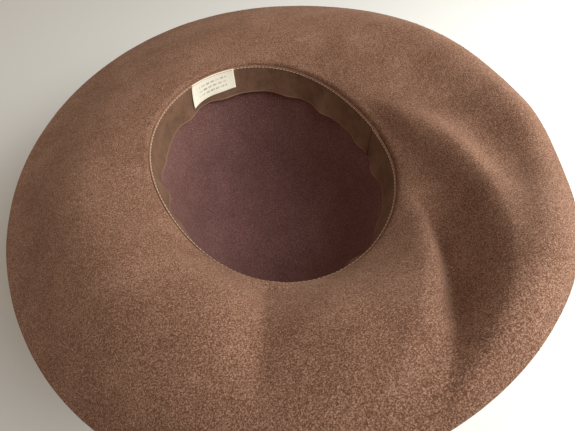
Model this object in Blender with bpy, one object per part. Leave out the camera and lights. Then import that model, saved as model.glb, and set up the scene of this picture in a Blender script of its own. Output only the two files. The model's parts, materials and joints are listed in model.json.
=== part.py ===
"""Wide-brimmed soft felt hat, lying upside down on its crown.

Metres, +Z up. The origin is the middle of the small flat on the crown's tip, which rests on the table.
The front of the hat is at -Y, the back at +Y, and the wearer's left at -X.
A turn is the polar angle about +Z from +X, a depth is measured down from the head line into the crown.
"""

import math

import bmesh
import bpy
from mathutils import Vector

MM = 0.001

# Head line, the oval where crown and brim meet.
HEAD_LONG = 98.0 * MM  # half of front to back
HEAD_SHORT = 79.5 * MM  # half of side to side
HEAD_WAVE = 0.012  # the worn oval is out of true by this fraction, four times round
HEAD_WAVE_TURN = -0.52

# Layers.
FELT = 2.2 * MM
RIBBON = 0.6 * MM
LABEL = 0.4 * MM
THREAD = 0.35 * MM
GAP = 0.35 * MM  # between pieces that touch

# Crown.
CROWN_DEEP = 112.0 * MM
TIP_LONG = 32.0 * MM  # half sizes of the flat on the crown's tip
TIP_SHORT = 26.0 * MM
WALL_LEAN = 0.24  # share of the narrowing that the wall takes evenly from head line to tip
SHOULDER = 2.9  # power of the rounded shoulder: 2 is an ellipse, more is squarer
CROWN_RINGS = 8
CROWN_TOP_EDGE = 0.6 * MM  # depth of the crown's cut edge, which meets the brim's bend

# Brim.
COLLAR_DEEP = 10.0 * MM
BEND_ARC = 4.0 * MM  # length of felt in the bend from collar to brim
BEND_STEPS = 3
BRIM_WIDTH = 102.5 * MM
BRIM_WIDER = 11.0 * MM  # extra width at WIDEST_TURN, and as much less on the other side
WIDEST_TURN = -1.79
KNEE = 0.775  # fraction of the width where the brim starts to roll back
BRIM_STRIPS = 12
BRIM_SUBSTEPS = 4
# Slopes of the felt above the horizontal, in radians: the mean, then the cosine and sine parts of one
# and of two waves round the hat.
SLOPE_AT_HEAD = (0.487, 0.078, -0.448, -0.014, 0.141)
SLOPE_AT_KNEE = (-0.034, 0.482, -0.407, -0.107, -0.226)
SLOPE_AT_EDGE = (-0.410, 0.073, 0.180, 0.044, -0.033)
# Soft dips pressed in the felt, and swellings, which have a depth below zero: the turn of the middle line at the
# head line and how it changes with the fraction of the width, the depth, the spread of the two flanks in
# radians, and the middle and spread as fractions of the width.
DIPS = (
    (-0.079, -0.208, -22.3 * MM, 0.315, 0.797, 0.813, 0.283),
    (-0.338, 0.0, 38.3 * MM, 0.710, 0.633, 0.917, 0.474),
    (-0.10, -1.30, -10.0 * MM, 0.30, 0.30, 0.32, 0.34),
)
DIP_RISE = 0.15  # fraction of the width over which the dips set in from the head line
# Folds, which drop on one side and climb slowly on the other: the turn of the bottom at the head line and how it
# changes with the fraction of the width, the depth, the width of the drop and of the climb in radians, the
# fractions of the width where the fold is at its full depth, starts to fade and closes, and how sharply it closes.
FOLDS = (
    (-0.77, -0.95, 19.0 * MM, 0.24, 0.60, 0.50, 0.58, 0.97, 2.5),
    (-2.02, 0.0, 9.0 * MM, 0.26, 0.34, 0.14, 0.35, 0.90, 6.0),
)
FOLD_SOFT = 0.02  # rounding of a fold's bottom, in radians
FOLD_DROP, FOLD_CLIMB = 2.4, 1.8  # powers of a fold's two sides: above 1, each is steepest at the bottom

# Sweatband and label.
BAND_TOP = 0.6 * MM  # depth of its sewn edge
BAND_DEEP = 22.0 * MM
LAP_START = math.radians(-10)  # where the strip starts, near +X
LAP_TURN = math.radians(5)  # its two ends overlap by this much
LAP_RAMP = math.radians(20)
SEWN_DEPTH = 1.8 * MM
THREAD_WIDE = 0.5 * MM
LABEL_TURNS = (math.radians(85), math.radians(110))
LABEL_TOP = 2.7 * MM
LABEL_DEEP = 17.0 * MM

# Outside trim.
SEAM_SPACE = 1.0 * MM  # room between crown and hatband for the brim seam's thread
SEAM_DEPTH = 5.0 * MM
HATBAND_TOP = 1.6 * MM
HATBAND_DEEP = 25.0 * MM
BOW_TURN = math.radians(180)
BOW_HALF = math.radians(25)
BOW_DEEP = 22.0 * MM
BOW_THICK = 3.0 * MM
BOW_WAIST = 0.45  # thickness and height at the middle, as a fraction of the loops'
KNOT_HALF = math.radians(5)
TACK_LONG = 8.0 * MM
TACK_AWAY = math.radians(1.0)

SEGMENTS = 72  # every piece turns in these same steps, so gaps between layers stay even
STEP = 2 * math.pi / SEGMENTS
LAYERS = 2 * FELT + 2 * GAP  # from the collar's inner face to the crown's outer face, level


def clear_scene():
    for old in list(bpy.data.objects):
        bpy.data.objects.remove(old, do_unlink=True)


def smooth(x):
    x = min(max(x, 0.0), 1.0)
    return x * x * (3 - 2 * x)


def wrap(turn):
    return (turn + math.pi) % (2 * math.pi) - math.pi


def oval(turn, half_x, half_y):
    return half_x * half_y / math.hypot(half_y * math.cos(turn), half_x * math.sin(turn))


def head_radius(turn):
    wave = 1 + HEAD_WAVE * math.cos(4 * (turn - HEAD_WAVE_TURN))
    return oval(turn, HEAD_SHORT, HEAD_LONG) * wave


def crown_radius(turn, depth):
    """Radius of the crown's outer face at this depth below the head line."""
    s = min(depth / CROWN_DEEP, 1.0)
    shoulder = 1 - (1 - s**SHOULDER) ** (1 / SHOULDER)
    k = WALL_LEAN * s + (1 - WALL_LEAN) * shoulder
    return (1 - k) * (head_radius(turn) + LAYERS) + k * oval(turn, TIP_SHORT, TIP_LONG)


def head_face(turn, depth):
    """Radius of the collar's inner face, carried on down the crown as a reference for the sweatband."""
    return crown_radius(turn, depth) - LAYERS


def waves(parts, turn):
    mean, c1, s1, c2, s2 = parts
    return (
        mean + c1 * math.cos(turn) + s1 * math.sin(turn) + c2 * math.cos(2 * turn) + s2 * math.sin(2 * turn)
    )


def hollow_depth(turn, u):
    """How far the felt is pressed down at a turn and a fraction of the brim's width."""
    total = 0.0
    for turn0, turn1, deep, before, after, middle, spread in DIPS:
        away = wrap(turn - turn0 - turn1 * u)
        across = math.exp(-((away / (before if away < 0 else after)) ** 2))
        total += deep * across * math.exp(-(((u - middle) / spread) ** 2)) * smooth(u / DIP_RISE)
    for turn0, turn1, deep, drop, climb, full, fades, closes, power in FOLDS:
        if u >= closes:
            continue
        away = wrap(turn - turn0 - turn1 * u)
        width = climb * max(1 - (u / closes) ** power, 0.05)
        climbed = min((math.hypot(away, FOLD_SOFT) - FOLD_SOFT) / width, 1.0)
        across = max(1 + away / drop, 0.0) ** FOLD_DROP if away < 0 else (1 - climbed) ** FOLD_CLIMB
        total += deep * across * smooth(u / full) * (1 - smooth((u - fades) / (closes - fades)))
    return total


def at(turn, radius, depth):
    """Point at this polar radius and depth below the head line; above it the depth is below zero."""
    return Vector((radius * math.cos(turn), radius * math.sin(turn), CROWN_DEEP - depth))


def brim_section(turn):
    """The brim's upper face as it lies, from the collar's lower edge over the bend to the cut edge."""
    points = [at(turn, head_face(turn, COLLAR_DEEP), COLLAR_DEEP), at(turn, head_face(turn, 0), 0)]
    lean = math.atan((head_face(turn, 0) - head_face(turn, COLLAR_DEEP)) / COLLAR_DEEP)
    head, knee, edge = (waves(parts, turn) for parts in (SLOPE_AT_HEAD, SLOPE_AT_KNEE, SLOPE_AT_EDGE))
    radius, height = head_face(turn, 0), 0.0
    for i in range(BEND_STEPS):
        slope = math.pi / 2 - lean + (head - math.pi / 2 + lean) * (i + 0.5) / BEND_STEPS
        radius += math.cos(slope) * BEND_ARC / BEND_STEPS
        height += math.sin(slope) * BEND_ARC / BEND_STEPS
        points.append(at(turn, radius, -height))
    width = BRIM_WIDTH + BRIM_WIDER * math.cos(turn - WIDEST_TURN)
    steps = BRIM_STRIPS * BRIM_SUBSTEPS
    for i in range(steps):
        u = (i + 0.5) / steps
        slope = head + (knee - head) * smooth(u / KNEE) + (edge - knee) * smooth((u - KNEE) / (1 - KNEE))
        radius += math.cos(slope) * width / steps
        height += math.sin(slope) * width / steps
        if (i + 1) % BRIM_SUBSTEPS == 0:
            points.append(at(turn, radius, hollow_depth(turn, (i + 1) / steps) - height))
    return points


def sheet_mesh(name, columns, closed=True, cap=False):
    """Quads through columns of points, one column for each turn; cap fills the last ring with one flat face."""
    bm = bmesh.new()
    grid = [[bm.verts.new(point) for point in column] for column in columns]
    count = len(grid)
    for i in range(count if closed else count - 1):
        left, right = grid[i], grid[(i + 1) % count]
        for a, b, c, d in zip(left, right, right[1:], left[1:]):
            bm.faces.new((a, b, c, d))
    if cap:
        bm.faces.new([column[-1] for column in grid])
    mesh = bpy.data.meshes.new(name)
    bm.to_mesh(mesh)
    bm.free()
    return mesh


def add_object(name, mesh, material):
    mesh.materials.append(material)
    mesh.shade_smooth()
    obj = bpy.data.objects.new(name, mesh)
    bpy.context.scene.collection.objects.link(obj)
    return obj


def add_sheet(name, columns, thickness, side, material, closed=True, cap=False):
    """A sheet given its thickness on one side: side is 1 for along the quads' normals, -1 for against them."""
    obj = add_object(name, sheet_mesh(name, columns, closed, cap), material)
    solid = obj.modifiers.new("Thickness", "SOLIDIFY")
    solid.thickness = thickness
    solid.offset = side
    solid.use_even_offset = True
    return obj


def make_material(name, colour, roughness):
    material = bpy.data.materials.new(name)
    material.use_nodes = True
    shader = material.node_tree.nodes["Principled BSDF"]
    shader.inputs["Base Color"].default_value = (*colour, 1.0)
    shader.inputs["Roughness"].default_value = roughness
    shader.inputs["Metallic"].default_value = 0.0
    return material


def turns(start=0.0, end=2 * math.pi, last=False):
    count = round((end - start) / STEP)
    return [start + i * STEP for i in range(count + (1 if last else 0))]


def add_crown(felt):
    def column(turn):
        top = at(turn, crown_radius(turn, CROWN_TOP_EDGE), CROWN_TOP_EDGE)
        quarter = math.pi / 2
        depths = [
            CROWN_DEEP * math.sin(quarter * i / CROWN_RINGS) ** (2 / SHOULDER)
            for i in range(1, CROWN_RINGS + 1)
        ]
        return [top] + [at(turn, crown_radius(turn, depth), depth) for depth in depths]

    add_sheet("crown", [column(turn) for turn in turns()], FELT, 1, felt, cap=True)


def add_brim(felt):
    add_sheet("brim", [brim_section(turn) for turn in turns()], FELT, 1, felt)


def band_inset(along):
    """How far the sweatband's outer face lies inside the collar; along runs past a full circle at the lap."""
    ramp = smooth((along - (2 * math.pi - LAP_RAMP)) / LAP_RAMP)
    return GAP + ramp * (RIBBON + GAP)


def band_face(turn, depth):
    """Radius of the sweatband's innermost face."""
    along = (turn - LAP_START) % (2 * math.pi)
    inset = max(band_inset(along), band_inset(along + 2 * math.pi) if along <= LAP_TURN else 0.0)
    return head_face(turn, depth) - inset - RIBBON


def add_sweatband(ribbon):
    depths = (BAND_TOP, COLLAR_DEEP, BAND_TOP + BAND_DEEP)
    columns = []
    for turn in turns(LAP_START, LAP_START + 2 * math.pi + LAP_TURN, last=True):
        inset = band_inset(turn - LAP_START)
        columns.append([at(turn, head_face(turn, depth) - inset, depth) for depth in depths])
    add_sheet("sweatband", columns, RIBBON, 1, ribbon, closed=False)


def bar(name, columns, material, closed=False):
    """A closed bar: each column is a ring of points round its cross-section, and open ends are capped."""
    bm = bmesh.new()
    grid = [[bm.verts.new(point) for point in column] for column in columns]
    pairs = list(zip(grid, grid[1:] + grid[:1])) if closed else list(zip(grid, grid[1:]))
    for left, right in pairs:
        for i in range(len(left)):
            j = (i + 1) % len(left)
            bm.faces.new((left[i], left[j], right[j], right[i]))
    if not closed:
        bm.faces.new(grid[0])
        bm.faces.new(reversed(grid[-1]))
    bmesh.ops.recalc_face_normals(bm, faces=bm.faces)
    mesh = bpy.data.meshes.new(name)
    bm.to_mesh(mesh)
    bm.free()
    add_object(name, mesh, material)


def thread_section(turn, radius, depth, side):
    """Three points round a sewing thread that runs round the head; side is -1 inside a face, 1 outside it."""
    base = radius + side * GAP
    return [
        at(turn, base, depth - THREAD_WIDE / 2),
        at(turn, base + side * THREAD, depth),
        at(turn, base, depth + THREAD_WIDE / 2),
    ]


def add_sweatband_thread(thread):
    columns = [
        thread_section(turn, band_face(turn, SEWN_DEPTH), SEWN_DEPTH, -1) for turn in turns()
    ]
    bar("sweatband_thread", columns, thread, closed=True)


def label_face(turn, depth):
    return band_face(turn, depth) - GAP


def add_label(tape):
    depths = (LABEL_TOP, LABEL_TOP + LABEL_DEEP)
    columns = [
        [at(turn, label_face(turn, depth), depth) for depth in depths] for turn in turns(*LABEL_TURNS, last=True)
    ]
    add_sheet("label", columns, LABEL, 1, tape, closed=False)


def add_brim_seam_thread(thread):
    columns = [thread_section(turn, crown_radius(turn, SEAM_DEPTH), SEAM_DEPTH, 1) for turn in turns()]
    bar("brim_seam_thread", columns, thread, closed=True)


def hatband_face(turn, depth):
    """Radius of the hatband's outer face."""
    return crown_radius(turn, depth) + SEAM_SPACE + RIBBON


def add_hatband(ribbon):
    depths = (HATBAND_TOP, HATBAND_TOP + HATBAND_DEEP)
    columns = [[at(turn, crown_radius(turn, depth) + SEAM_SPACE, depth) for depth in depths] for turn in turns()]
    add_sheet("hatband", columns, RIBBON, -1, ribbon)


def bow_section(turn, inner, outer, half_deep):
    """Four corners round the bow's cross-section, between two distances outside the hatband."""
    middle = HATBAND_TOP + HATBAND_DEEP / 2
    top, bottom = middle - half_deep, middle + half_deep
    return [
        at(turn, hatband_face(turn, top) + inner, top),
        at(turn, hatband_face(turn, bottom) + inner, bottom),
        at(turn, hatband_face(turn, bottom) + outer, bottom),
        at(turn, hatband_face(turn, top) + outer, top),
    ]


def add_bow(ribbon):
    columns = []
    for turn in turns(BOW_TURN - BOW_HALF, BOW_TURN + BOW_HALF, last=True):
        near = abs(turn - BOW_TURN) < KNOT_HALF + STEP / 2
        size = BOW_WAIST if near else 1.0
        columns.append(bow_section(turn, GAP, GAP + BOW_THICK * size, BOW_DEEP / 2 * (0.7 if near else 1.0)))
    bar("bow_loops", columns, ribbon)
    inner = 2 * GAP + BOW_THICK * BOW_WAIST
    columns = [
        bow_section(turn, inner, inner + 2 * RIBBON, BOW_DEEP * 0.45)
        for turn in turns(BOW_TURN - KNOT_HALF, BOW_TURN + KNOT_HALF, last=True)
    ]
    bar("bow_knot", columns, ribbon)


def add_bow_tacks(thread):
    """One bar of thread over each end of the bow, along the ribbon's width."""
    for name, side in (("bow_tack_front", 1), ("bow_tack_back", -1)):
        turn = BOW_TURN + side * (BOW_HALF + TACK_AWAY)
        middle = HATBAND_TOP + HATBAND_DEEP / 2
        half = THREAD_WIDE / 2 / head_radius(turn)
        columns = []
        for depth in (middle - TACK_LONG / 2, middle + TACK_LONG / 2):
            base = hatband_face(turn, depth) + GAP
            columns.append([at(turn - half, base, depth), at(turn, base + THREAD, depth), at(turn + half, base, depth)])
        bar(name, columns, thread)


def main():
    clear_scene()
    felt = make_material("brown_felt", (0.155, 0.094, 0.062), 0.95)
    ribbon = make_material("brown_grosgrain", (0.120, 0.080, 0.052), 0.75)
    tape = make_material("cream_tape", (0.750, 0.700, 0.530), 0.85)
    tan_thread = make_material("tan_thread", (0.360, 0.220, 0.120), 0.70)
    brown_thread = make_material("brown_thread", (0.110, 0.070, 0.050), 0.70)
    add_crown(felt)
    add_brim(felt)
    add_sweatband(ribbon)
    add_sweatband_thread(tan_thread)
    add_label(tape)
    add_brim_seam_thread(brown_thread)
    add_hatband(ribbon)
    add_bow(ribbon)
    add_bow_tacks(brown_thread)


main()
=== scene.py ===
"""Soft felt hat with a wide brim, upside down on its crown: the finished look, built round its fixed frame.

Metres, +Z up. The front of the hat is at -Y, the back at +Y and the wearer's left at -X.
A turn is the polar angle about +Z from +X. A depth is measured down from the head line into the crown.
"""

import json
import math

import bpy
import numpy as np
from bpy.props import FloatProperty, FloatVectorProperty, PointerProperty
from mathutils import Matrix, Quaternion, Vector, noise


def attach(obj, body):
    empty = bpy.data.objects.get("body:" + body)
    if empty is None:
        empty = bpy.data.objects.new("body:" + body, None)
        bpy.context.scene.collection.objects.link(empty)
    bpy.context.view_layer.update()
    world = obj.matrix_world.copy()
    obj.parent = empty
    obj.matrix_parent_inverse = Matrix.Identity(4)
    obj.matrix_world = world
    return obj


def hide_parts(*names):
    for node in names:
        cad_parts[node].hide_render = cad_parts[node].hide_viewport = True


bl_info = {
    "name": "Soft Felt Hat",
    "version": (1, 0, 0),
    "blender": (4, 5, 0),
    "location": "View3D > Sidebar > Felt Hat",
    "description": "Builds a wide-brimmed felt hat, its ribbons, label and stitches round a fixed frame",
    "category": "Object",
}

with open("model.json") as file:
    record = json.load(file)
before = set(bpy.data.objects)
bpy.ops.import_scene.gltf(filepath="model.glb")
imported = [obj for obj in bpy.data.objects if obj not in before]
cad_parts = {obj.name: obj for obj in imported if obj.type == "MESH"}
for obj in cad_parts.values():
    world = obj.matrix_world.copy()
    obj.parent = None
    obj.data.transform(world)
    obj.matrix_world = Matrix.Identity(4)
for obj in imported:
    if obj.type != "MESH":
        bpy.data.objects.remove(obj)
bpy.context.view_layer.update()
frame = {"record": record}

MM = 0.001
TURN = 2 * math.pi
HEAD_LINE = next(m["pos_m"][2] for m in frame["record"]["mounts"] if m["name"] == "head_opening")

# The brim's run, as the frame has it. Slopes are in radians above the horizontal: the mean, then the cosine
# and sine parts of one and of two waves round the hat.
SLOPE_AT_HEAD = (0.487, 0.078, -0.448, -0.014, 0.141)
SLOPE_AT_KNEE = (-0.034, 0.482, -0.407, -0.107, -0.226)
SLOPE_AT_EDGE = (-0.410, 0.073, 0.180, 0.044, -0.033)
KNEE = 0.775
# Soft swellings (below zero) and dips pressed in the felt: the turn of the middle line at the head line and how
# it changes with the fraction of the width, the depth, the spread of the two flanks in radians, and the middle
# and spread as fractions of the width.
DIPS = (
    (-0.079, -0.208, -22.3 * MM, 0.315, 0.797, 0.813, 0.283),
    (-0.338, 0.0, 38.3 * MM, 0.710, 0.633, 0.917, 0.474),
    (-0.10, -1.30, -10.0 * MM, 0.30, 0.30, 0.32, 0.34),
)
# Folds, which drop on one side and climb slowly on the other: the turn of the bottom at the head line and how
# it changes with the fraction of the width, the depth, the width of the drop and of the climb in radians, the
# fractions of the width where the fold is at its full depth, starts to fade and closes, and how sharply it closes.
FOLDS = (
    (-0.77, -0.95, 19.0 * MM, 0.24, 0.60, 0.50, 0.58, 0.97, 2.5),
    (-2.02, 0.0, 9.0 * MM, 0.26, 0.34, 0.14, 0.35, 0.90, 6.0),
)
DIP_RISE = 0.15  # fraction of the width over which dips and swellings begin
FOLD_SOFT = 0.02  # rounding of a fold's bottom, in radians
FOLD_NARROW = 0.05  # a fold closes to this share of its climb
FOLD_DROP, FOLD_CLIMB = 2.4, 1.8  # powers of a fold's two sides: above 1, each is steepest at the bottom

# How finely the pieces are divided: steps round the hat or along a ribbon, then rows across.
BRIM_STEPS, COLLAR_ROWS, BEND_ROWS, BRIM_ROWS = 432, 5, 12, 80
CROWN_STEPS, CROWN_ROWS, TIP_ROWS = 288, 60, 10
BAND_STEPS, BAND_ROWS = 2241, 14
LABEL_STEPS, LABEL_ROWS = 61, 25
HATBAND_STEPS, HATBAND_ROWS = 2400, 10
LOOP_STEPS, LOOP_ROWS = 520, 12
KNOT_STEPS, KNOT_ROWS = 90, 14
SEWING_STEPS, TACK_STEPS = 720, 9
EDGE_POINTS = 5  # round each cut edge


# ---------------------------------------------------------------- settings


def metres(name, description, default):
    return FloatProperty(name=name, description=description, default=default, unit="LENGTH")


def per_area(name, description, default):
    return FloatProperty(name=name, description=description, default=default, subtype="UNSIGNED")


def tint(name, description, default):
    return FloatVectorProperty(name=name, description=description, default=default, subtype="COLOR")


class HatSizes(bpy.types.PropertyGroup):
    """Sizes of the hat's pieces."""

    head_long: metres("Head length", "Half of the head oval, front to back", 98.0 * MM)
    head_short: metres("Head width", "Half of the head oval, side to side", 79.5 * MM)
    felt: metres("Felt", "Thickness of the felt", 2.2 * MM)
    brim_width: metres("Brim width", "Mean width of the brim along the felt", 102.5 * MM)
    ribbon: metres("Ribbon", "Thickness of the ribbon", 0.5 * MM)
    band_deep: metres("Sweatband width", "Width of the ribbon inside", 22.0 * MM)
    band_wave: metres("Sweatband wave", "How far the free edge stands off the felt", 5.0 * MM)
    hatband_deep: metres("Hatband width", "Width of the ribbon outside", 25.0 * MM)
    rib_pitch: metres("Rib pitch", "Distance between the ribs of the ribbon", 1.0 * MM)
    rib_height: metres("Rib height", "Height of the ribs of the ribbon", 0.05 * MM)
    label_deep: metres("Label height", "Height of the woven label", 17.0 * MM)
    label: metres("Label", "Thickness of the label", 0.3 * MM)
    stitch_pitch: metres("Stitch pitch", "Distance between stitches", 2.9 * MM)
    stitch_long: metres("Stitch length", "Length of thread that shows", 2.5 * MM)
    thread: metres("Thread", "Thickness of the thread", 0.55 * MM)
    fibre_long: metres("Fibre length", "Length of the loose fibres of the nap", 1.6 * MM)
    fibre_thick: metres("Fibre thickness", "Thickness of the loose fibres", 0.07 * MM)
    fibre_density: per_area("Fibre density", "Loose fibres on a square metre of felt", 46000.0)
    lint_long: metres("Lint length", "Length of the pale lint on the felt", 3.2 * MM)
    lint_density: per_area("Lint density", "Pieces of lint on a square metre of felt", 1400.0)


class HatColours(bpy.types.PropertyGroup):
    """Colours of the hat's materials."""

    felt_light: tint("Felt, light fibres", "Lighter fibres", (0.490, 0.300, 0.215))
    felt_dark: tint("Felt, dark fibres", "Darker fibres", (0.120, 0.053, 0.029))
    # Painted shade: the crown's inside is coloured darker and purpler than the same felt of the brim, standing for
    # the shade and cool light inside it.
    shaded_crown_light: tint("Crown, light fibres", "Lighter fibres", (0.400, 0.220, 0.200))
    shaded_crown_dark: tint("Crown, dark fibres", "Darker fibres", (0.130, 0.058, 0.054))
    ribbon: tint("Ribbon", "Grosgrain ribbon", (0.160, 0.088, 0.055))
    selvedge: tint("Selvedge", "The ribbon's woven edges", (0.290, 0.165, 0.105))
    label: tint("Label", "Woven label", (0.960, 0.940, 0.800))
    label_mark: tint("Label's dashes", "Dashes woven in the label", (0.090, 0.060, 0.035))
    tan_thread: tint("Tan thread", "Thread of the sweatband", (0.460, 0.290, 0.160))
    brown_thread: tint("Brown thread", "Thread of the hatband", (0.110, 0.070, 0.050))
    lint: tint("Lint", "Pale lint on the felt", (0.500, 0.390, 0.280))


def sizes():
    return bpy.context.scene.hat_sizes


def colours():
    return bpy.context.scene.hat_colours


# ---------------------------------------------------------------- the hat's form


HEAD_WAVE, HEAD_WAVE_TURN = 0.012, -0.52  # the head oval is a little square
FRAME_FELT, FRAME_GAP = 2.2 * MM, 0.35 * MM
LAYERS = 2 * FRAME_FELT + 2 * FRAME_GAP  # from the collar's inner face to the crown's outer face
TIP_LONG, TIP_SHORT = 32.0 * MM, 26.0 * MM  # halves of the flat oval on the crown's tip
WALL_LEAN, SHOULDER = 0.24, 2.9  # how far the crown's wall leans in, and how square it turns over
COLLAR_DEEP, BEND_ARC = 10.0 * MM, 4.0 * MM
BRIM_WIDER, WIDEST_TURN = 11.0 * MM, -1.79
LUMP_SIZE, LUMP_HEIGHT, LUMP_SEED = 28.0 * MM, 0.25 * MM, 1  # slow unevenness of the brim's felt
CROWN_TOP = 0.6 * MM  # depth of the crown's cut edge
TIP_HOLE = 0.1  # the tip's last ring, as a share of the flat; one point closes it

LAYER_GAP = 0.25 * MM  # between felt, ribbon, label and thread
BAND_TOP = 0.6 * MM  # depth of the sweatband's sewn edge
SEWN_DEPTH = 1.6 * MM
LAP_START, LAP_TURN, LAP_RAMP = math.radians(-11.5), math.radians(6), math.radians(20)
LAP_SLANT = math.radians(-4.5)  # how far the cut end of the lap leans over the ribbon's width
LAP_FREE, LAP_LIFT = math.radians(4.5), 1.8 * MM  # the end's last stretch stands up off the ribbon beneath
LAP_SHORT = 0.10  # the cut end is this much narrower
END_SHADE_WIDE = 1.3 * MM  # painted shade: the dark stretch at an open ribbon's cut ends, at the lap and the knot's tucked ends
# The waves of the free edge: share of the whole wave, how many there are round the hat, and phase.
EDGE_WAVES = ((0.26, 13, 0.7), (0.15, 19, 2.1), (0.09, 7, 4.0))
LABEL_TURNS = (math.radians(84), math.radians(106.5))
LABEL_LEAN, LABEL_SKEW = math.radians(2.5), 0.14  # its far end leans, and its near end is this much shorter
LABEL_TOP = 0.9 * MM
LABEL_CURL = 0.9 * MM
LABEL_RAMP = math.radians(0.4)  # the stitches climb on to the label over this turn
SEAM_DEPTH = 5.0 * MM
HATBAND_TOP, HATBAND_SPACE = 1.6 * MM, 1.0 * MM
HATBAND_SNUG, SNUG_FROM = 0.6, 0.35  # the space closes by this share, from this fraction of the width on
BOW_TURN, BOW_HALF, KNOT_HALF = math.pi, math.radians(25), math.radians(5)
BOW_DEEP, BOW_THICK, BOW_WAIST = 22.0 * MM, 3.0 * MM, 0.45
BOW_INSET, WAIST_HALF = math.radians(0.6), 0.42  # the waist's half length is a fraction of the bow's
LOOP_REACH, LOOP_ROUND = 0.8, 0.5  # powers: below 1, the loop's section is flatter
WAIST_GATHER, PUCKERS, PUCKER_HIGH = 0.3, 3, 0.12 * MM
KNOT_LONG, KNOT_PINCH, KNOT_SQUARE = 0.84, 0.12, 7  # length as a share of the bow's width, and the arch's power
KNOT_HIGH, KNOT_FOLDS, KNOT_FOLD_HIGH = 0.9 * MM, 3, 0.1 * MM
TACK_LONG, TACK_AWAY = 8.0 * MM, math.radians(1.0)
THREAD_SUNK, THREAD_PROUD = 0.6, 1.3  # a stitch's ends and its arch, in thicknesses of the thread

# The stage: places are from the head line's middle, in the hat's own frame.
FLOOR_HALF, FLOOR_COLOUR = 3.0, (0.74, 0.78, 0.78)
WORLD_COLOUR, WORLD_STRENGTH = (1.0, 0.80, 0.64), 0.40
# Name, size, energy, colour, azimuth and elevation in radians, and distance.
LIGHTS = (
    ("window", 0.7, 7.6, (1.0, 0.98, 0.92), -0.25, 0.45, 0.70),
    ("high_window", 0.45, 2.4, (0.92, 0.96, 1.0), -0.85, 0.95, 0.72),
)
AIM, CAMERA_PLACE = (-0.0107, -0.0502, 0.0), (-0.0773, -0.1824, 0.223)
LENS_MM, SENSOR_MM, CAMERA_ROLL = 27.05, 36.0, 0.031


def smooth(x):
    x = np.clip(x, 0.0, 1.0)
    return x * x * (3 - 2 * x)


def wrap(turn):
    return (turn + math.pi) % TURN - math.pi


def oval(turn, half_x, half_y):
    return half_x * half_y / np.hypot(half_y * np.cos(turn), half_x * np.sin(turn))


def head_radius(turn):
    wave = 1 + HEAD_WAVE * np.cos(4 * (turn - HEAD_WAVE_TURN))
    return oval(turn, sizes().head_short, sizes().head_long) * wave


def crown_radius(turn, depth):
    """Radius of the crown's outer face at a depth below the head line."""
    s = np.clip(depth / HEAD_LINE, 0.0, 1.0)
    shoulder = 1 - (1 - s**SHOULDER) ** (1 / SHOULDER)
    k = WALL_LEAN * s + (1 - WALL_LEAN) * shoulder
    return (1 - k) * (head_radius(turn) + LAYERS) + k * oval(turn, TIP_SHORT, TIP_LONG)


def head_face(turn, depth):
    """Radius of the collar's inner face, carried on down the crown."""
    return crown_radius(turn, depth) - LAYERS


def waves(parts, turn):
    mean, c1, s1, c2, s2 = parts
    return mean + c1 * np.cos(turn) + s1 * np.sin(turn) + c2 * np.cos(2 * turn) + s2 * np.sin(2 * turn)


def hollow_depth(turn, u):
    """How far the felt is pressed down at a turn and a fraction of the brim's width."""
    total = np.zeros(np.broadcast(turn, u).shape)
    for turn0, turn1, deep, before, after, middle, spread in DIPS:
        away = wrap(turn - turn0 - turn1 * u)
        across = np.exp(-((away / np.where(away < 0, before, after)) ** 2))
        total = total + deep * across * np.exp(-(((u - middle) / spread) ** 2)) * smooth(u / DIP_RISE)
    for turn0, turn1, deep, drop, climb, full, fades, closes, power in FOLDS:
        away = wrap(turn - turn0 - turn1 * u)
        width = climb * np.maximum(1 - (u / closes) ** power, FOLD_NARROW)
        climbed = np.clip((np.hypot(away, FOLD_SOFT) - FOLD_SOFT) / width, 0, 1)
        dropped = np.clip(1 + away / drop, 0, 1)
        across = np.where(away < 0, dropped**FOLD_DROP, (1 - climbed) ** FOLD_CLIMB)
        total = total + deep * across * smooth(u / full) * (1 - smooth((u - fades) / (closes - fades)))
    return total


def at(turn, radius, depth):
    """Points at polar radii and depths below the head line, as an array whose last axis is x, y, z."""
    turn, radius, depth = np.broadcast_arrays(turn, radius, depth)
    return np.stack([radius * np.cos(turn), radius * np.sin(turn), HEAD_LINE - depth], axis=-1)


def brim_face(turn):
    """The brim's upper face as it lies: collar, bend and brim, one row of points for each turn."""
    turn = turn[:, None]
    collar = np.linspace(COLLAR_DEEP, 0, COLLAR_ROWS)[None, :]
    collar_points = at(turn, head_face(turn, collar), collar)
    foot, start = head_face(turn, COLLAR_DEEP), head_face(turn, 0.0)
    lean = math.pi / 2 - np.arctan((start - foot) / COLLAR_DEEP)
    head, knee, edge = (waves(parts, turn) for parts in (SLOPE_AT_HEAD, SLOPE_AT_KNEE, SLOPE_AT_EDGE))
    part = (np.arange(BEND_ROWS) + 0.5)[None, :] / BEND_ROWS
    bend = lean + (head - lean) * part
    width = sizes().brim_width + BRIM_WIDER * np.cos(turn - WIDEST_TURN)
    part = (np.arange(BRIM_ROWS) + 0.5)[None, :] / BRIM_ROWS
    run = head + (knee - head) * smooth(part / KNEE) + (edge - knee) * smooth((part - KNEE) / (1 - KNEE))
    slope = np.concatenate([bend, run], axis=1)
    bend_step = np.full_like(bend, BEND_ARC / BEND_ROWS)
    step = np.concatenate([bend_step, np.broadcast_to(width / BRIM_ROWS, run.shape)], axis=1)
    radius = start + np.cumsum(np.cos(slope) * step, axis=1)
    height = np.cumsum(np.sin(slope) * step, axis=1)
    u = np.concatenate([np.zeros(BEND_ROWS), (np.arange(BRIM_ROWS) + 1) / BRIM_ROWS])[None, :]
    return np.concatenate([collar_points, at(turn, radius, hollow_depth(turn, u) - height)], axis=1)


def band_inset(along):
    """How far the sweatband's outer face lies inside the felt; along runs past a full turn at the lap."""
    ramp = smooth((along - TURN + LAP_RAMP) / LAP_RAMP)
    return LAYER_GAP + ramp * (sizes().ribbon + LAYER_GAP)


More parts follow.
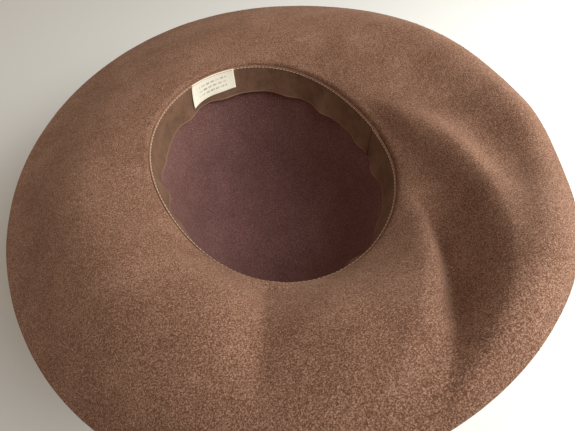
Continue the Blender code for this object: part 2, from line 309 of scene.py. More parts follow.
def band_stand_off(turn, part):
    """How far the sweatband stands off the felt, at a fraction of its depth: nothing at the sewn edge."""
    wave = 0.5
    for share, count, phase in EDGE_WAVES:
        wave = wave + share * np.sin(count * turn + phase)
    return sizes().band_wave * wave**1.5 * np.clip(part, 0, 1) ** 2.2


def band_face(turn, depth):
    """Radius of the sweatband's innermost face."""
    along = (turn - LAP_START) % TURN
    inset = np.maximum(band_inset(along), np.where(along <= LAP_TURN, band_inset(along + TURN), 0.0))
    part = (depth - BAND_TOP) / sizes().band_deep
    return head_face(turn, depth) - inset - sizes().ribbon - band_stand_off(turn, part)


def label_stand_off(turn, part):
    """The label's lower corners curl off the ribbon a little."""
    across = (turn - sum(LABEL_TURNS) / 2) / (LABEL_TURNS[1] - LABEL_TURNS[0])
    return LABEL_CURL * part**2 * (0.5 + 2 * across**2)


def hatband_face(turn, depth):
    """Radius of the hatband's outer face."""
    return crown_radius(turn, depth) + HATBAND_SPACE + sizes().ribbon


def bow_middle():
    """Depth of the bow's middle line."""
    return HATBAND_TOP + sizes().hatband_deep / 2


# ---------------------------------------------------------------- meshes


def grid_normals(points, closed):
    """Unit normals of a grid of points: along the first axis crossed with along the second."""
    if closed:
        along = np.roll(points, -1, 0) - np.roll(points, 1, 0)
    else:
        along = np.gradient(points, axis=0)
    across = np.gradient(points, axis=1)
    normal = np.cross(along, across)
    return normal / np.maximum(np.linalg.norm(normal, axis=-1, keepdims=True), 1e-12)


def solid_mesh(name, vertices, faces):
    """A smooth closed mesh with its faces outward: they are turned round if its volume comes out below zero."""
    volume = 0.0
    for face in faces:
        first = vertices[face[0]]
        for second, third in zip(face[1:], face[2:]):
            volume += np.dot(first, np.cross(vertices[second], vertices[third]))
    if volume < 0:
        faces = [face[::-1] for face in faces]
    mesh = bpy.data.meshes.new(name)
    mesh.from_pydata(vertices.tolist(), [], faces)
    mesh.shade_smooth()
    return mesh


def tube_mesh(name, points, closed, poles=False):
    """A closed mesh through rings of points, one ring for each turn; open ends are capped.

    With poles, the rings are open rows instead, and their first and last points close on a middle point.
    """
    count, rows = points.shape[:2]
    vertices = points.reshape(-1, 3)
    i = np.arange(count if closed else count - 1)[:, None]
    j = np.arange(rows - 1 if poles else rows)[None, :]
    i, j = np.broadcast_arrays(i, j)
    i2, j2 = (i + 1) % count, (j + 1) % rows
    quads = np.stack([i * rows + j, i2 * rows + j, i2 * rows + j2, i * rows + j2], axis=-1).reshape(-1, 4)
    faces = quads.tolist()
    if poles:
        middles = np.array([points[:, 0].mean(axis=0), points[:, -1].mean(axis=0)])
        first, last = len(vertices), len(vertices) + 1
        vertices = np.concatenate([vertices, middles])
        for k in range(count):
            here, after = k * rows, (k + 1) % count * rows
            faces.append([after, here, first])
            faces.append([here + rows - 1, after + rows - 1, last])
    elif not closed:
        faces += end_cap(0, rows, False) + end_cap((count - 1) * rows, rows, True)
    return solid_mesh(name, vertices, faces)


def end_cap(start, rows, turned):
    """Faces over the end of a shell, from each point of its front to the point behind it."""
    front = (rows - 2 * EDGE_POINTS) // 2
    faces = []
    for k in range(-(EDGE_POINTS + 1) // 2, front + EDGE_POINTS // 2):
        behind = 2 * front + EDGE_POINTS - 1 - k
        corners = list(dict.fromkeys(c % rows for c in (k, k + 1, behind - 1, behind)))
        faces.append([start + c for c in (corners[::-1] if turned else corners)])
    return faces


def shell(front, thickness, closed):
    """Rings of points round a sheet with round cut edges; its back lies along the front's normals."""
    back = front + grid_normals(front, closed) * thickness
    middle, half = (front + back) / 2, (back - front) / 2

    def edge(row, inner):
        outward = front[:, row] - front[:, inner]
        outward *= thickness / 2 / np.linalg.norm(outward, axis=-1, keepdims=True)
        angles = np.linspace(0, math.pi, EDGE_POINTS + 2)[1:-1]
        rim = [middle[:, row] - half[:, row] * math.cos(a) + outward * math.sin(a) for a in angles]
        return np.stack(rim, axis=1)

    return np.concatenate([front, edge(-1, -2), back[:, ::-1], edge(0, 1)[:, ::-1]], axis=1)


def round_shell(values):
    """Values for the front's points, handed on to all the points of a shell."""
    last, first = (np.repeat(values[:, row], EDGE_POINTS, axis=1) for row in ([-1], [0]))
    return np.concatenate([values, last, values[:, ::-1], first], axis=1)


def lengths_along(points):
    """Distance along the middle row of a grid, from its first turn, for each turn."""
    middle = points[:, points.shape[1] // 2]
    steps = np.linalg.norm(np.diff(middle, axis=0), axis=1)
    return np.concatenate([[0], np.cumsum(steps)])


def add_places(mesh, shape, **places):
    """Keeps each point's place in the cloth as named attributes, for the ribs and the materials."""
    for word, values in places.items():
        values = round_shell(np.broadcast_to(values, shape))
        mesh.attributes.new(word, "FLOAT", "POINT").data.foreach_set("value", values.ravel())


def ribbon_mesh(name, front, thickness, closed, across):
    """A ribbon with its ribs, and its flat length. Across is each row's place over the width, 0 to 1."""
    along = lengths_along(front)
    length = along[-1] + (np.linalg.norm(front[0] - front[-1], axis=1).mean() if closed else 0)
    if closed:
        along = along * round(length / sizes().rib_pitch) * sizes().rib_pitch / length
    mesh = tube_mesh(name, shell(front, thickness, closed), closed)
    to_end = np.minimum(along, along[-1] - along)[:, None]
    # Painted shade: a dark stretch at each end of an open ribbon, where the lap and the tucked ends throw shade.
    cut = np.zeros_like(to_end) if closed else np.clip(1 - to_end / END_SHADE_WIDE, 0, 1)
    add_places(mesh, front.shape[:2], along=along[:, None], across=across, cut=cut)
    finish = bpy.data.materials["grosgrain"]
    ribbed = grown(name, mesh, rib_tree(), Pitch=sizes().rib_pitch, Height=sizes().rib_height, Material=finish)
    return ribbed, length


def new_piece(name, mesh, material_name, slot, *replaced):
    """Puts a finished mesh in the scene as a piece of the hat."""
    mesh.materials.clear()
    mesh.materials.append(bpy.data.materials[material_name])
    piece = bpy.data.objects.new(name, mesh)
    bpy.context.scene.collection.objects.link(piece)
    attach(piece, "root")
    if replaced:
        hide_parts(*replaced)
    return piece


def lumps(points, size, strength, seed):
    """Slow swellings of the surface, as a number for each point."""
    flat = points.reshape(-1, 3)
    offset = Vector((seed * 7.3, seed * 3.1, seed * 5.7))
    values = [noise.noise(Vector(p) / size + offset) for p in flat]
    return strength * np.array(values).reshape(points.shape[:-1])


# ---------------------------------------------------------------- geometry nodes


def new_tree(name, **inputs):
    """An empty tree with a Geometry input and output, and named inputs whose values are socket types."""
    tree = bpy.data.node_groups.new(name, "GeometryNodeTree")
    tree.interface.new_socket("Geometry", in_out="INPUT", socket_type="NodeSocketGeometry")
    for word, kind in inputs.items():
        tree.interface.new_socket(word, in_out="INPUT", socket_type="NodeSocket" + kind)
    tree.interface.new_socket("Geometry", in_out="OUTPUT", socket_type="NodeSocketGeometry")
    return tree, tree.nodes.new("NodeGroupInput"), tree.nodes.new("NodeGroupOutput")


def node(tree, kind, inputs=(), **settings):
    """Adds a node. Inputs are (socket, value) pairs, where a value that is a socket is linked."""
    made = tree.nodes.new(kind)
    for key, value in settings.items():
        setattr(made, key, value)
    for socket, value in inputs:
        if isinstance(value, bpy.types.NodeSocket):
            tree.links.new(value, made.inputs[socket])
        else:
            made.inputs[socket].default_value = value
    return made


def maths(tree, operation, first, second=0.0, third=0.0):
    return node(tree, "ShaderNodeMath", ((0, first), (1, second), (2, third)), operation=operation).outputs[0]


def end_tree(tree, start, end, geometry):
    realized = node(tree, "GeometryNodeRealizeInstances", ((0, geometry),))
    shaded = node(tree, "GeometryNodeSetShadeSmooth", ((0, realized.outputs[0]),))
    dressed = node(tree, "GeometryNodeSetMaterial", ((0, shaded.outputs[0]), (2, start.outputs["Material"])))
    tree.links.new(dressed.outputs[0], end.inputs[0])
    return tree


def grown(name, mesh, tree, **values):
    """The plain mesh that a tree makes of a mesh, with the tree's inputs set by name."""
    holder = bpy.data.objects.new(name + "_base", mesh)
    bpy.context.scene.collection.objects.link(holder)
    modifier = holder.modifiers.new(tree.name, "NODES")
    modifier.node_group = tree
    for item in tree.interface.items_tree:
        if item.item_type == "SOCKET" and item.in_out == "INPUT" and item.name in values:
            modifier[item.identifier] = values[item.name]
    depsgraph = bpy.context.evaluated_depsgraph_get()
    made = bpy.data.meshes.new_from_object(
        holder.evaluated_get(depsgraph), preserve_all_data_layers=True, depsgraph=depsgraph
    )
    made.name = name
    holder.modifiers.remove(modifier)
    bpy.data.objects.remove(holder)
    bpy.data.meshes.remove(mesh)
    if not made.polygons:
        raise RuntimeError(f"{tree.name} made nothing for {name}")
    return made


def rib_tree():
    """Raises the ribs of a grosgrain ribbon, which cross it at an even pitch along its length."""
    if "grosgrain_ribs" in bpy.data.node_groups:
        return bpy.data.node_groups["grosgrain_ribs"]
    tree, start, end = new_tree("grosgrain_ribs", Pitch="Float", Height="Float", Material="Material")
    along = node(tree, "GeometryNodeInputNamedAttribute", (("Name", "along"),), data_type="FLOAT").outputs[0]
    ribs = maths(tree, "DIVIDE", along, start.outputs["Pitch"])
    wave = maths(tree, "SINE", maths(tree, "MULTIPLY", ribs, TURN))
    height = maths(tree, "MULTIPLY", wave, start.outputs["Height"])
    normal = node(tree, "GeometryNodeInputNormal").outputs[0]
    offset = node(tree, "ShaderNodeVectorMath", ((0, normal), ("Scale", height)), operation="SCALE").outputs[0]
    moved = node(tree, "GeometryNodeSetPosition", ((0, start.outputs[0]), ("Offset", offset)))
    return end_tree(tree, start, end, moved.outputs[0])


def stitch_tree():
    """Lays stitches along a line round the hat. Side is 1 for stitches seen from outside, -1 from inside."""
    if "running_stitches" in bpy.data.node_groups:
        return bpy.data.node_groups["running_stitches"]
    tree, start, end = new_tree(
        "running_stitches",
        Pitch="Float",
        Stitch="Float",
        Thread="Float",
        Side="Float",
        Seed="Int",
        Material="Material",
    )
    line = node(tree, "GeometryNodeMeshToCurve", ((0, start.outputs[0]),))
    every = (0, line.outputs[0]), ("Length", start.outputs["Pitch"])
    spaced = node(tree, "GeometryNodeResampleCurve", every, mode="LENGTH")
    half, thread = maths(tree, "MULTIPLY", start.outputs["Stitch"], 0.5), start.outputs["Thread"]
    sunk = maths(tree, "MULTIPLY", thread, -THREAD_SUNK)
    ends = [
        node(tree, "ShaderNodeCombineXYZ", (("X", maths(tree, "MULTIPLY", half, side)), ("Z", sunk))).outputs[0]
        for side in (-1.0, 1.0)
    ]
    top = node(tree, "ShaderNodeCombineXYZ", (("Z", maths(tree, "MULTIPLY", thread, THREAD_PROUD)),)).outputs[0]
    arch = node(
        tree,
        "GeometryNodeCurveQuadraticBezier",
        (("Resolution", 7), ("Start", ends[0]), ("Middle", top), ("End", ends[1])),
    )
    thickness = maths(tree, "MULTIPLY", thread, 0.5)
    ring = node(tree, "GeometryNodeCurvePrimitiveCircle", (("Resolution", 6), ("Radius", thickness)))
    stitch = node(
        tree, "GeometryNodeCurveToMesh", ((0, arch.outputs[0]), (1, ring.outputs[0]), ("Fill Caps", True))
    )
    place = node(tree, "GeometryNodeInputPosition").outputs[0]
    flat = node(tree, "ShaderNodeVectorMath", ((0, place), (1, (1, 1, 0))), operation="MULTIPLY").outputs[0]
    outward = node(
        tree, "ShaderNodeVectorMath", ((0, flat), ("Scale", start.outputs["Side"])), operation="SCALE"
    ).outputs[0]
    tangent = node(tree, "GeometryNodeInputTangent").outputs[0]
    facing = node(
        tree, "FunctionNodeAxesToRotation", ((0, tangent), (1, outward)), primary_axis="X", secondary_axis="Z"
    ).outputs[0]
    slant = node(
        tree,
        "FunctionNodeRandomValue",
        ((0, (-0.04, -0.03, -0.07)), (1, (0.04, 0.03, 0.07)), ("Seed", start.outputs["Seed"])),
        data_type="FLOAT_VECTOR",
    ).outputs[0]
    turned = node(tree, "FunctionNodeEulerToRotation", ((0, slant),)).outputs[0]
    both = (0, facing), (1, turned)
    rotation = node(tree, "FunctionNodeRotateRotation", both, rotation_space="LOCAL").outputs[0]
    sewn = node(
        tree,
        "GeometryNodeInstanceOnPoints",
        ((0, spaced.outputs[0]), ("Instance", stitch.outputs[0]), ("Rotation", rotation)),
    )
    return end_tree(tree, start, end, sewn.outputs[0])


def fibre_tree():
    """Scatters short curved fibres over a surface, each lying nearly flat and pointing anywhere."""
    if "loose_fibres" in bpy.data.node_groups:
        return bpy.data.node_groups["loose_fibres"]
    tree, start, end = new_tree(
        "loose_fibres",
        Density="Float",
        Length="Float",
        Thickness="Float",
        Rise="Float",
        Seed="Int",
        Material="Material",
    )
    spots = node(
        tree,
        "GeometryNodeDistributePointsOnFaces",
        ((0, start.outputs[0]), ("Density", start.outputs["Density"]), ("Seed", start.outputs["Seed"])),
    )
    half, rise = maths(tree, "MULTIPLY", start.outputs["Length"], 0.5), start.outputs["Rise"]
    back, ahead = (maths(tree, "MULTIPLY", half, side) for side in (-1.0, 1.0))
    points = [
        node(tree, "ShaderNodeCombineXYZ", (("X", x), ("Y", y), ("Z", z))).outputs[0]
        for x, y, z in ((back, 0.0, 0.0), (0.0, maths(tree, "MULTIPLY", half, 0.5), rise), (ahead, 0.0, rise))
    ]
    bend = node(
        tree,
        "GeometryNodeCurveQuadraticBezier",
        (("Resolution", 3), ("Start", points[0]), ("Middle", points[1]), ("End", points[2])),
    )
    thickness = maths(tree, "MULTIPLY", start.outputs["Thickness"], 0.5)
    ring = node(tree, "GeometryNodeCurvePrimitiveCircle", (("Resolution", 3), ("Radius", thickness)))
    fibre = node(
        tree, "GeometryNodeCurveToMesh", ((0, bend.outputs[0]), (1, ring.outputs[0]), ("Fill Caps", True))
    )
    lean = node(
        tree,
        "FunctionNodeRandomValue",
        ((0, (-0.2, -0.2, -math.pi)), (1, (0.2, 0.2, math.pi)), ("Seed", start.outputs["Seed"])),
        data_type="FLOAT_VECTOR",
    ).outputs[0]
    turned = node(tree, "FunctionNodeEulerToRotation", ((0, lean),)).outputs[0]
    both = (0, spots.outputs["Rotation"]), (1, turned)
    rotation = node(tree, "FunctionNodeRotateRotation", both, rotation_space="LOCAL").outputs[0]
    spread = (2, 0.5), (3, 1.5), ("Seed", start.outputs["Seed"])
    size = node(tree, "FunctionNodeRandomValue", spread, data_type="FLOAT").outputs[1]
    laid = node(
        tree,
        "GeometryNodeInstanceOnPoints",
        ((0, spots.outputs[0]), ("Instance", fibre.outputs[0]), ("Rotation", rotation), ("Scale", size)),
    )
    return end_tree(tree, start, end, laid.outputs[0])


def sewing_line(name, points, closed):
    """A bare line through points, for stitches to follow."""
    mesh = bpy.data.meshes.new(name)
    edges = [(k, (k + 1) % len(points)) for k in range(len(points) if closed else len(points) - 1)]
    mesh.from_pydata(points.tolist(), edges, [])
    return mesh


def sew(name, points, closed, side, seed, thread, replaced):
    """Adds stitches along a line of points, as one piece."""
    mesh = grown(
        name,
        sewing_line(name, points, closed),
        stitch_tree(),
        Pitch=sizes().stitch_pitch,
        Stitch=sizes().stitch_long,
        Thread=sizes().thread,
        Side=side,
        Seed=seed,
        Material=bpy.data.materials[thread],
    )
    new_piece(name, mesh, thread, thread, replaced)


# ---------------------------------------------------------------- materials


def new_material(name, roughness, sheen=0.0, sheen_tint=(1, 1, 1, 1)):
    """A material with its shader's plain values set; the caller adds its pattern."""
    made = bpy.data.materials.new(name)
    made.use_nodes = True
    tree = made.node_tree
    shader = tree.nodes["Principled BSDF"]
    shader.inputs["Roughness"].default_value = roughness
    shader.inputs["Specular IOR Level"].default_value = 0.2
    shader.inputs["Sheen Weight"].default_value = sheen
    shader.inputs["Sheen Roughness"].default_value = 0.5
    shader.inputs["Sheen Tint"].default_value = sheen_tint
    return tree, shader


def noise_at(tree, scale, detail=2.0, roughness=0.5, distortion=0.0, stretch=None):
    """Noise on the piece's own place in the hat, 0 to 1; stretch draws it out along an axis."""
    place = node(tree, "ShaderNodeTexCoord").outputs["Object"]
    if stretch:
        place = node(tree, "ShaderNodeMapping", ((0, place), ("Scale", stretch))).outputs[0]
    grain = (("Scale", scale), ("Detail", detail), ("Roughness", roughness), ("Distortion", distortion))
    return node(tree, "ShaderNodeTexNoise", ((0, place), *grain)).outputs[0]


def attribute(tree, name):
    """A value kept on the mesh's points."""
    return node(tree, "ShaderNodeAttribute", attribute_name=name).outputs["Fac"]


def remap(tree, value, low, high, new_low=0.0, new_high=1.0):
    inputs = ((0, value), (1, low), (2, high), (3, new_low), (4, new_high))
    return node(tree, "ShaderNodeMapRange", inputs).outputs[0]


def blend(tree, factor, first, second):
    """Between two colours, each three numbers or a socket."""
    pair = [value if isinstance(value, bpy.types.NodeSocket) else (*value, 1) for value in (first, second)]
    made = node(tree, "ShaderNodeMix", (("Factor", factor),), data_type="RGBA")
    for socket, value in zip(("A", "B"), pair):
        target = next(s for s in made.inputs if s.name == socket and s.type == "RGBA")
        if isinstance(value, bpy.types.NodeSocket):
            tree.links.new(value, target)
        else:
            target.default_value = value
    return next(s for s in made.outputs if s.type == "RGBA")


def bumps(tree, shader, strength, *layers):
    """Bump layers of (height, distance), laid over each other."""
    normal = None
    for height, distance in layers:
        inputs = (("Strength", strength), ("Distance", distance), ("Height", height))
        made = node(tree, "ShaderNodeBump", inputs)
        if normal:
            tree.links.new(normal, made.inputs["Normal"])
        normal = made.outputs[0]
    tree.links.new(normal, shader.inputs["Normal"])


def felt_material():
    """Matted short fibres: fine speckle, slow cloudy changes, a fibrous bump, and painted shade inside the crown,
    whose inside faces are coloured darker and purpler.
    """
    tree, shader = new_material("brown_felt", 0.95, 0.12, (0.75, 0.55, 0.42, 1))
    fibres = noise_at(tree, scale=1500, detail=3.0, roughness=0.8)
    clumps = noise_at(tree, scale=700, roughness=0.6, distortion=0.5)
    clouds = noise_at(tree, scale=38, detail=3.0, roughness=0.6)
    mixed = maths(tree, "MULTIPLY_ADD", clumps, 0.14, maths(tree, "MULTIPLY", clouds, 0.12))
    speckle = maths(tree, "ADD", fibres, mixed)
    share = remap(tree, speckle, 0.575, 0.815)
    # Painted shade: the crown's inside faces take the darker, purpler shaded crown colours.
    inside = attribute(tree, "inside")
    shades = colours()
    brim = blend(tree, share, shades.felt_dark, shades.felt_light)
    crown = blend(tree, share, shades.shaded_crown_dark, shades.shaded_crown_light)
    tree.links.new(blend(tree, inside, brim, crown), shader.inputs["Base Color"])
    bumps(tree, shader, 0.5, (clumps, 0.5 * MM), (fibres, 0.35 * MM))


def ribbon_material():
    """Ribbed ribbon: paler woven edges, faint streaks along the ribs, slow patches, and painted shade darkening
    its cut ends.
    """
    tree, shader = new_material("grosgrain", 0.72, 0.15, (0.8, 0.7, 0.55, 1))
    across = attribute(tree, "across")
    edge = remap(tree, maths(tree, "ABSOLUTE", maths(tree, "SUBTRACT", across, 0.5)), 0.455, 0.485)
    patches = noise_at(tree, scale=95, detail=3.0, roughness=0.65)
    weave = noise_at(tree, scale=1500, roughness=0.6, stretch=(1.0, 1.0, 0.2))
    shade = maths(tree, "MULTIPLY_ADD", weave, 0.5, maths(tree, "MULTIPLY", patches, 0.9))
    dark, light = (tuple(value * share for value in colours().ribbon) for share in (0.62, 1.42))
    plain = blend(tree, remap(tree, shade, 0.4, 1.0), dark, light)
    edged = blend(tree, edge, plain, colours().selvedge)
    # Painted shade: the ribbon darkens to a fifth of its colour at its cut ends.
    cut = attribute(tree, "cut")
    painted_end_shade = tuple(value * 0.2 for value in colours().ribbon)
    tree.links.new(blend(tree, remap(tree, cut, 0.1, 0.5), edged, painted_end_shade), shader.inputs["Base Color"])
    bumps(tree, shader, 0.4, (weave, 0.2 * MM))


def label_material():
    """Cream woven tape with three rows of plain woven dashes, kept off its margins."""
    tree, shader = new_material("label_weave", 0.75)
    along = attribute(tree, "along")
    across = attribute(tree, "across")
    place = node(tree, "ShaderNodeCombineXYZ", (("X", along), ("Y", across))).outputs[0]
    dashes = node(
        tree,
        "ShaderNodeTexBrick",
        (
            (0, place),
            ("Color1", (1, 1, 1, 1)),
            ("Color2", (0.3, 0.3, 0.3, 1)),
            ("Mortar", (0, 0, 0, 1)),
            ("Scale", 1.0),
            ("Mortar Size", 0.016),
            ("Mortar Smooth", 0.2),
            ("Brick Width", 0.11),
            ("Row Height", 0.21),
        ),
    ).outputs[0]
    inside = [
        remap(tree, maths(tree, "ABSOLUTE", maths(tree, "SUBTRACT", value, middle)), reach, reach - 0.02)
        for value, middle, reach in ((along, 0.5, 0.33), (across, 0.52, 0.30))
    ]
    rows = remap(tree, maths(tree, "PINGPONG", across, 0.105), 0.055, 0.070)
    field = maths(tree, "MULTIPLY", inside[0], inside[1])
    marks = maths(tree, "MULTIPLY", field, maths(tree, "MULTIPLY", rows, dashes))
    worn = remap(tree, noise_at(tree, scale=900), 0.35, 0.6, new_low=0.35)
    threads = noise_at(tree, scale=2200, detail=1.0, stretch=(1.0, 1.0, 0.25))
    ground = blend(tree, threads, tuple(0.9 * value for value in colours().label), colours().label)
    marked = maths(tree, "MULTIPLY", maths(tree, "MULTIPLY", marks, worn), 0.75)
    tree.links.new(blend(tree, marked, ground, colours().label_mark), shader.inputs["Base Color"])
    bumps(tree, shader, 0.35, (threads, 0.15 * MM))


def thread_material(name, colour):
    """Twisted thread: fine specks of light and shade."""
    tree, shader = new_material(name, 0.6, 0.1)
    twist = noise_at(tree, scale=2600, detail=1.0)
    dark, light = (tuple(value * share for value in colour) for share in (0.65, 1.25))
    tree.links.new(blend(tree, remap(tree, twist, 0.35, 0.65), dark, light), shader.inputs["Base Color"])
    bumps(tree, shader, 0.4, (twist, 0.12 * MM))


# ---------------------------------------------------------------- operators


class HAT_OT_materials(bpy.types.Operator):
    """Mixes the felt, ribbon, label and thread"""

    bl_idname = "hat.materials"
    bl_label = "Materials"

    def execute(self, context):
        shades = colours()
        felt_material()
        ribbon_material()
        label_material()
        thread_material("tan_thread", shades.tan_thread)
        thread_material("brown_thread", shades.brown_thread)
        thread_material("pale_lint", shades.lint)
        return {"FINISHED"}


class HAT_OT_brim(bpy.types.Operator):
    """Blocks the wide brim with its collar"""

    bl_idname = "hat.brim"
    bl_label = "Brim"

    def execute(self, context):
        turn = np.arange(BRIM_STEPS) * TURN / BRIM_STEPS
        front = brim_face(turn)
        front += grid_normals(front, True) * lumps(front, LUMP_SIZE, LUMP_HEIGHT, LUMP_SEED)[..., None]
        mesh = tube_mesh("felt_brim", shell(front, sizes().felt, True), True)
        new_piece("felt_brim", mesh, "brown_felt", "felt", "brim")
        return {"FINISHED"}


class HAT_OT_crown(bpy.types.Operator):
    """Blocks the round crown"""

    bl_idname = "hat.crown"
    bl_label = "Crown"

    def execute(self, context):
        turn = (np.arange(CROWN_STEPS) * TURN / CROWN_STEPS)[:, None]
        quarter = np.linspace(0, math.pi / 2, CROWN_ROWS)[None, 1:]
        depth = np.concatenate([[[CROWN_TOP]], HEAD_LINE * np.sin(quarter) ** (2 / SHOULDER)], axis=1)
        radius = crown_radius(turn, depth)
        tip = radius[:, -1:] * np.linspace(1, TIP_HOLE, TIP_ROWS)[None, 1:]
        radius = np.concatenate([radius, tip], axis=1)
        depth = np.concatenate([depth, np.full((1, TIP_ROWS - 1), HEAD_LINE)], axis=1)
        outside = at(turn, radius, depth)
        inside = outside + grid_normals(outside, True) * sizes().felt
        mesh = tube_mesh("felt_crown", np.concatenate([inside[:, ::-1], outside], axis=1), True, poles=True)
        # The inside faces are marked for the felt's painted shade.
        faces = np.concatenate([np.ones(inside.shape[:2]), np.zeros(outside.shape[:2])], axis=1).ravel()
        mesh.attributes.new("inside", "FLOAT", "POINT").data.foreach_set("value", np.append(faces, [1.0, 0.0]))
        new_piece("felt_crown", mesh, "brown_felt", "felt", "crown")
        return {"FINISHED"}


class HAT_OT_sweatband(bpy.types.Operator):
    """Lays the ribbon inside the head opening, with its lapped ends and wavy free edge"""

    bl_idname = "hat.sweatband"
    bl_label = "Sweatband"

    def execute(self, context):
        along = np.linspace(0, TURN + LAP_TURN, BAND_STEPS)[:, None]
        part = np.linspace(0, 1, BAND_ROWS)[None, :]
        free = smooth((along - TURN - LAP_TURN + LAP_FREE) / LAP_FREE)
        turn = LAP_START + along + LAP_SLANT * part**1.5 * smooth((along - TURN) / LAP_TURN)
        rounded = 1 - LAP_SHORT * smooth((along - TURN - LAP_TURN + LAP_FREE / 4) / LAP_FREE * 4)
        depth = BAND_TOP + sizes().band_deep * part * rounded
        lift = LAP_LIFT * free * part
        radius = head_face(turn, depth) - band_inset(along) - band_stand_off(turn, part) - lift
        front = at(turn, radius, depth)
        mesh, length = ribbon_mesh("sweatband_ribbon", front, sizes().ribbon, False, part)
        ribbon = new_piece("sweatband_ribbon", mesh, "grosgrain", "ribbon", "sweatband")
        return {"FINISHED"}


class HAT_OT_label(bpy.types.Operator):
    """Sets the woven label at the back of the sweatband"""

    bl_idname = "hat.label"
    bl_label = "Label"

    def execute(self, context):
        along = np.linspace(0, 1, LABEL_STEPS)[:, None]
        part = np.linspace(0, 1, LABEL_ROWS)[None, :]
        start, end = LABEL_TURNS
        turn = start + (end - start) * along + LABEL_LEAN * along * part
        depth = LABEL_TOP + sizes().label_deep * part * (1 - LABEL_SKEW * (1 - along))
        radius = band_face(turn, depth) - LAYER_GAP - label_stand_off(turn, part)
        front = at(turn, radius, depth)
        mesh = tube_mesh("woven_label", shell(front, sizes().label, False), False)
        add_places(mesh, front.shape[:2], along=along, across=part)
        label = new_piece("woven_label", mesh, "label_weave", "label_tape", "label")
        return {"FINISHED"}


class HAT_OT_stitches(bpy.types.Operator):
    """Sews the sweatband and label to the felt, and the brim's collar to the crown"""

    bl_idname = "hat.stitches"
    bl_label = "Stitches"

    def execute(self, context):
        turn = np.arange(SEWING_STEPS) * TURN / SEWING_STEPS
        lower, upper = (
            smooth((side * (turn - end) + LABEL_RAMP) / LABEL_RAMP) for side, end in zip((1, -1), LABEL_TURNS)
        )
        proud = lower * upper * (sizes().label + LAYER_GAP)
        points = at(turn, band_face(turn, SEWN_DEPTH) - proud, SEWN_DEPTH)
        sew("sweatband_stitches", points, True, -1.0, 3, "tan_thread", "sweatband_thread")
        points = at(turn, crown_radius(turn, SEAM_DEPTH), SEAM_DEPTH)
        sew("brim_seam_stitches", points, True, 1.0, 4, "brown_thread", "brim_seam_thread")
        return {"FINISHED"}


class HAT_OT_hatband(bpy.types.Operator):
    """Wraps the ribbon round the outside of the crown's foot"""

    bl_idname = "hat.hatband"
    bl_label = "Hatband"

    def execute(self, context):
        turn = (np.arange(HATBAND_STEPS) * TURN / HATBAND_STEPS)[:, None]
        part = np.linspace(1, 0, HATBAND_ROWS)[None, :]
        depth = HATBAND_TOP + sizes().hatband_deep * part
        snug = HATBAND_SPACE * (1 - HATBAND_SNUG * smooth((part - SNUG_FROM) / (1 - SNUG_FROM)))
        front = at(turn, crown_radius(turn, depth) + snug, depth)
        mesh, length = ribbon_mesh("hatband_ribbon", front, sizes().ribbon, True, part)
        ribbon = new_piece("hatband_ribbon", mesh, "grosgrain", "ribbon", "hatband")
        return {"FINISHED"}


class HAT_OT_bow(bpy.types.Operator):
    """Folds the flat bow, wraps its knot and tacks it to the hatband"""

    bl_idname = "hat.bow"
    bl_label = "Bow"

    def loops(self):
        """A ring of ribbon pressed flat and drawn in at the waist."""
        angle = (np.arange(LOOP_STEPS) * TURN / LOOP_STEPS)[:, None]
        reach = np.sign(np.cos(angle)) * np.abs(np.cos(angle)) ** LOOP_REACH
        turn = BOW_TURN + (BOW_HALF - BOW_INSET) * reach
        waist = 1 - smooth(np.abs(reach) / WAIST_HALF)
        thick = BOW_THICK * (1 - (1 - BOW_WAIST) * waist) - sizes().ribbon
        lift = np.sign(np.sin(angle)) * np.abs(np.sin(angle)) ** LOOP_ROUND
        part = np.linspace(-0.5, 0.5, LOOP_ROWS)[None, :]
        depth = bow_middle() + BOW_DEEP * (1 - WAIST_GATHER * waist) * part
        puckers = PUCKER_HIGH * waist * np.cos(PUCKERS * TURN * part)
        off = LAYER_GAP + sizes().ribbon / 2 + thick * (1 + lift) / 2 + puckers
        radius = hatband_face(turn, depth) + off
        front = at(turn, radius, depth)
        mesh, length = ribbon_mesh("ribbon_bow_loops", front, sizes().ribbon, True, part + 0.5)
        piece = new_piece("ribbon_bow_loops", mesh, "grosgrain", "ribbon", "bow_loops")

    def knot(self):
        """A short length of ribbon over the waist, with its two ends tucked in."""
        part = np.linspace(-0.5, 0.5, KNOT_STEPS)[:, None]
        side = np.linspace(-1, 1, KNOT_ROWS)[None, :]
        turn = BOW_TURN + KNOT_HALF * side * (1 - KNOT_PINCH * np.cos(math.pi * part))
        depth = bow_middle() + BOW_DEEP * KNOT_LONG * part
        arch = np.clip(1 - np.abs(2 * part) ** KNOT_SQUARE, 0, 1) ** 0.5
        folds = KNOT_FOLD_HIGH * np.cos(KNOT_FOLDS * math.pi * side)
        height = LAYER_GAP + (BOW_THICK * BOW_WAIST + KNOT_HIGH) * arch + folds * arch
        front = at(turn, hatband_face(turn, depth) + height, depth)
        mesh, length = ribbon_mesh("ribbon_bow_knot", front, sizes().ribbon, False, (side + 1) / 2)
        piece = new_piece("ribbon_bow_knot", mesh, "grosgrain", "ribbon", "bow_knot")

    def execute(self, context):
        self.loops()
        self.knot()
        for name, side in (("front", 1), ("back", -1)):
            turn = BOW_TURN + side * (BOW_HALF + TACK_AWAY)
            depth = bow_middle() + np.linspace(-TACK_LONG / 2, TACK_LONG / 2, TACK_STEPS)
            points = at(turn, hatband_face(turn, depth), depth)
            tack = "bow_tack_" + name
            sew(tack + "_stitches", points, False, 1.0, 5, "brown_thread", tack)
        return {"FINISHED"}


